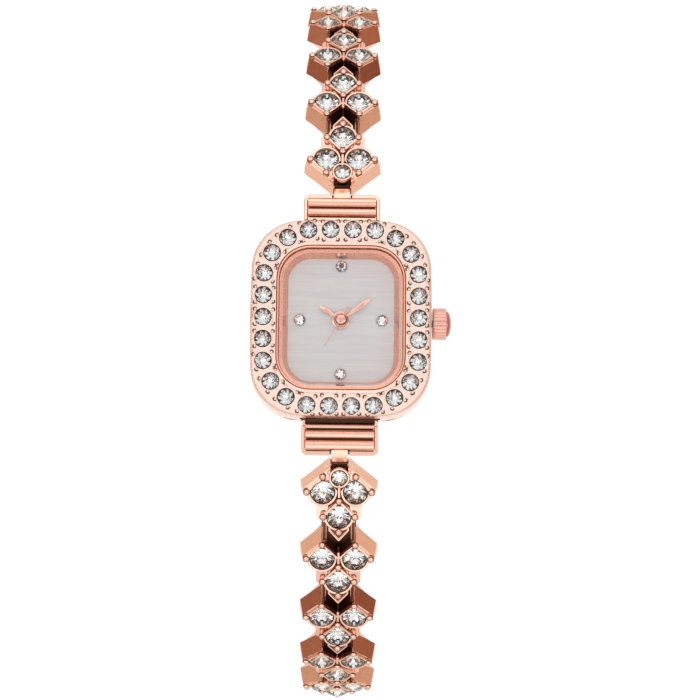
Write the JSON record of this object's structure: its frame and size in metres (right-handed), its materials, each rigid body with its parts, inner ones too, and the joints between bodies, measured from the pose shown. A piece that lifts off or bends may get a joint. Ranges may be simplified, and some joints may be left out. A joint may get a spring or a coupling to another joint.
{
  "type": "bracelet watch",
  "caption": "Analogue quartz bracelet watch with a cushion-shaped case, stone-set bezel and hinged stone-set links, shown with its clasp open.",
  "frame": {"origin": "centre of the case back's outer face", "axes": "+Z out of the dial, +Y towards twelve o'clock, +X towards the crown at three o'clock"},
  "size_m": [0.0267, 0.0999, 0.0678],
  "materials": {
    "rose_gold": "polished rose gold plating",
    "ring_gold": "polished rose gold plating, deeper in tone",
    "hand_gold": "polished rose gold plating",
    "clear_stone": "faceted and foil-backed",
    "crystal_glass": "clear and polished",
    "pearl_dial": "pearl white with a faint sheen",
    "back_steel": "brushed",
    "gasket_rubber": "matte",
    "holder_plastic": "moulded",
    "plate_brass": "satin",
    "wheel_brass": "polished",
    "cell_steel": "polished",
    "core_steel": "satin",
    "coil_copper": "enamelled copper wire",
    "board_green": "lacquered"
  },
  "bodies": {
    "case": {"case_body": "rose_gold", "bezel": "rose_gold", "case_stones": "clear_stone", "crystal": "crystal_glass", "inner_ring": "ring_gold", "dial": "pearl_dial", "case_back": "back_steel", "case_back_gasket": "gasket_rubber", "movement_holder": "holder_plastic", "main_plate": "plate_brass", "train_bridge": "plate_brass", "button_cell": "cell_steel", "stator": "core_steel", "coil": "coil_copper", "circuit_board": "board_green", "spring_bars": "core_steel"},
    "seconds": {"seconds_wheel": "wheel_brass", "second_hand": "hand_gold"},
    "third": {"third_wheel": "wheel_brass"},
    "minutes": {"centre_wheel": "wheel_brass", "minute_hand": "hand_gold"},
    "minute_works": {"minute_wheel": "wheel_brass"},
    "hours": {"hour_wheel": "wheel_brass", "hour_hand": "hand_gold"},
    "intermediate": {"intermediate_wheel": "wheel_brass"},
    "motor_rotor": {"rotor": "core_steel"},
    "stem_lever": {"setting_lever": "core_steel"},
    "crown_and_stem": {"crown": "rose_gold", "stem": "core_steel"},
    "upper_end_link": {"upper_end_link": "rose_gold"},
    "upper_connector": {"upper_connector": "rose_gold"},
    "upper_link_1": {"upper_link_1_frame": "rose_gold", "upper_link_1_stones": "clear_stone"},
    "upper_link_2": {"upper_link_2_frame": "rose_gold", "upper_link_2_stones": "clear_stone"},
    "upper_link_3": {"upper_link_3_frame": "rose_gold", "upper_link_3_stones": "clear_stone"},
    "upper_link_4": {"upper_link_4_frame": "rose_gold", "upper_link_4_stones": "clear_stone"},
    "upper_link_5": {"upper_link_5_frame": "rose_gold", "upper_link_5_stones": "clear_stone"},
    "upper_link_6": {"upper_link_6_frame": "rose_gold", "upper_link_6_stones": "clear_stone"},
    "clasp_ladder": {"clasp_ladder": "rose_gold"},
    "lower_end_link": {"lower_end_link": "rose_gold"},
    "lower_connector": {"lower_connector": "rose_gold"},
    "lower_link_1": {"lower_link_1_frame": "rose_gold", "lower_link_1_stones": "clear_stone"},
    "lower_link_2": {"lower_link_2_frame": "rose_gold", "lower_link_2_stones": "clear_stone"},
    "lower_link_3": {"lower_link_3_frame": "rose_gold", "lower_link_3_stones": "clear_stone"},
    "lower_link_4": {"lower_link_4_frame": "rose_gold", "lower_link_4_stones": "clear_stone"},
    "lower_link_5": {"lower_link_5_frame": "rose_gold", "lower_link_5_stones": "clear_stone"},
    "lower_link_6": {"lower_link_6_frame": "rose_gold", "lower_link_6_stones": "clear_stone"},
    "clasp_base": {"clasp_base": "rose_gold"},
    "clasp_cover": {"clasp_cover": "rose_gold"}
  },
  "joints": [
    {"name": "seconds_spin", "type": "hinge", "parent": "case", "child": "seconds", "pos_m": [0, 0, 0.002], "axis": [0, 0, 1], "continuous": true},
    {"name": "third_spin", "type": "hinge", "parent": "case", "child": "third", "pos_m": [-0.00236, 0.00136, 0.002], "axis": [0, 0, 1], "continuous": true},
    {"name": "minutes_spin", "type": "hinge", "parent": "case", "child": "minutes", "pos_m": [0, 0, 0.002], "axis": [0, 0, 1], "continuous": true},
    {"name": "minute_works_spin", "type": "hinge", "parent": "case", "child": "minute_works", "pos_m": [0, -0.002, 0.002], "axis": [0, 0, 1], "continuous": true},
    {"name": "hours_spin", "type": "hinge", "parent": "case", "child": "hours", "pos_m": [0, 0, 0.002], "axis": [0, 0, 1], "continuous": true},
    {"name": "intermediate_spin", "type": "hinge", "parent": "case", "child": "intermediate", "pos_m": [0.00144, 0.00249, 0.002], "axis": [0, 0, 1], "continuous": true},
    {"name": "rotor_spin", "type": "hinge", "parent": "case", "child": "motor_rotor", "pos_m": [0.00144, 0.00513, 0.002], "axis": [0, 0, 1], "continuous": true},
    {"name": "crown_pull", "type": "slide", "parent": "case", "child": "stem_lever", "axis": [1, 0, 0], "range_m": [0, 0.001]},
    {"name": "crown_turn", "type": "hinge", "parent": "stem_lever", "child": "crown_and_stem", "pos_m": [0.01215, 0, 0.0023], "axis": [1, 0, 0], "continuous": true},
    {"name": "upper_end_link_hinge", "type": "hinge", "parent": "case", "child": "upper_end_link", "pos_m": [0, 0.01275, 0.0023], "axis": [1, 0, 0], "range_deg": [-11, 9]},
    {"name": "upper_connector_hinge", "type": "hinge", "parent": "upper_end_link", "child": "upper_connector", "pos_m": [0, 0.0168, 0.00151], "axis": [1, 0, 0], "range_deg": [-23.5, 12.5]},
    {"name": "upper_link_1_hinge", "type": "hinge", "parent": "upper_connector", "child": "upper_link_1", "pos_m": [0, 0.01897, 0.00074], "axis": [1, 0, 0], "range_deg": [-27.9, 6.1]},
    {"name": "upper_link_2_hinge", "type": "hinge", "parent": "upper_link_1", "child": "upper_link_2", "pos_m": [0, 0.02517, -0.00122], "axis": [1, 0, 0], "range_deg": [-16.1, 17.9]},
    {"name": "upper_link_3_hinge", "type": "hinge", "parent": "upper_link_2", "child": "upper_link_3", "pos_m": [0, 0.03359, -0.00561], "axis": [1, 0, 0], "range_deg": [-15, 19]},
    {"name": "upper_link_4_hinge", "type": "hinge", "parent": "upper_link_3", "child": "upper_link_4", "pos_m": [0, 0.04103, -0.01152], "axis": [1, 0, 0], "range_deg": [-12.4, 21.6]},
    {"name": "upper_link_5_hinge", "type": "hinge", "parent": "upper_link_4", "child": "upper_link_5", "pos_m": [0, 0.04687, -0.01902], "axis": [1, 0, 0], "range_deg": [-8.1, 25.9]},
    {"name": "upper_link_6_hinge", "type": "hinge", "parent": "upper_link_5", "child": "upper_link_6", "pos_m": [0, 0.05011, -0.02795], "axis": [1, 0, 0], "range_deg": [-8, 26]},
    {"name": "clasp_ladder_hinge", "type": "hinge", "parent": "upper_link_6", "child": "clasp_ladder", "pos_m": [0, 0.05045, -0.03744], "axis": [1, 0, 0], "range_deg": [-12, 22]},
    {"name": "lower_end_link_hinge", "type": "hinge", "parent": "case", "child": "lower_end_link", "pos_m": [0, -0.01275, 0.0023], "axis": [1, 0, 0], "range_deg": [-9, 11]},
    {"name": "lower_connector_hinge", "type": "hinge", "parent": "lower_end_link", "child": "lower_connector", "pos_m": [0, -0.0168, 0.00151], "axis": [1, 0, 0], "range_deg": [-25, 11]},
    {"name": "lower_link_1_hinge", "type": "hinge", "parent": "lower_connector", "child": "lower_link_1", "pos_m": [0, -0.01875, 0.00029], "axis": [1, 0, 0], "range_deg": [-2.4, 31.6]},
    {"name": "lower_link_2_hinge", "type": "hinge", "parent": "lower_link_1", "child": "lower_link_2", "pos_m": [0, -0.02458, -0.0026], "axis": [1, 0, 0], "range_deg": [-17.5, 16.5]},
    {"name": "lower_link_3_hinge", "type": "hinge", "parent": "lower_link_2", "child": "lower_link_3", "pos_m": [0, -0.03227, -0.00817], "axis": [1, 0, 0], "range_deg": [-20.6, 13.4]},
    {"name": "lower_link_4_hinge", "type": "hinge", "parent": "lower_link_3", "child": "lower_link_4", "pos_m": [0, -0.03857, -0.01528], "axis": [1, 0, 0], "range_deg": [-24.1, 9.9]},
    {"name": "lower_link_5_hinge", "type": "hinge", "parent": "lower_link_4", "child": "lower_link_5", "pos_m": [0, -0.04264, -0.02386], "axis": [1, 0, 0], "range_deg": [-25.4, 8.6]},
    {"name": "lower_link_6_hinge", "type": "hinge", "parent": "lower_link_5", "child": "lower_link_6", "pos_m": [0, -0.04396, -0.03327], "axis": [1, 0, 0], "range_deg": [-26, 8]},
    {"name": "clasp_base_hinge", "type": "hinge", "parent": "lower_link_6", "child": "clasp_base", "pos_m": [0, -0.04231, -0.04263], "axis": [1, 0, 0], "range_deg": [-22, 12]},
    {"name": "clasp_cover_hinge", "type": "hinge", "parent": "clasp_base", "child": "clasp_cover", "pos_m": [0, -0.03482, -0.06031], "axis": [1, 0, 0], "range_deg": [0, 110]}
  ],
  "couplings": [
    {"joint": "third_spin", "follows": "seconds_spin", "ratio": -0.13333},
    {"joint": "minutes_spin", "follows": "seconds_spin", "ratio": 0.016667},
    {"joint": "minute_works_spin", "follows": "seconds_spin", "ratio": -0.0055556},
    {"joint": "hours_spin", "follows": "seconds_spin", "ratio": 0.0013889},
    {"joint": "intermediate_spin", "follows": "seconds_spin", "ratio": -3},
    {"joint": "rotor_spin", "follows": "seconds_spin", "ratio": 30}
  ]
}
